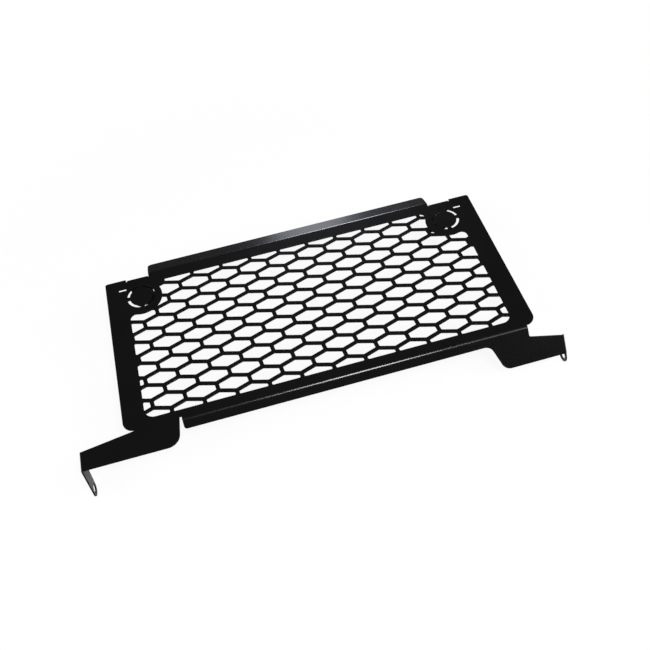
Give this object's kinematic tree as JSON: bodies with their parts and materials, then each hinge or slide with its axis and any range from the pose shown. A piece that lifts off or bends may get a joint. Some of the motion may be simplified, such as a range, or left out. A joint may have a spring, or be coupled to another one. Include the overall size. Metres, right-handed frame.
{
  "type": "motorcycle radiator guard",
  "caption": "Black folded sheet-metal radiator guard: a flat honeycomb panel in a plain border, leaning top and bottom flanges, back tabs, and an arm with a screw tab at each lower corner.",
  "frame": {"origin": "middle of the guard's plan outline, on the floor it lies on by the ends of its four back tabs", "axes": "+X along the guard's width, to the right as seen from its front; +Y up the panel towards its top flange; +Z out of its front face"},
  "size_m": [0.337, 0.1702, 0.032],
  "materials": {
    "powder_coat": "satin black powder coat"
  },
  "bodies": {
    "root": {"radiator_guard": "powder_coat"}
  },
  "joints": []
}
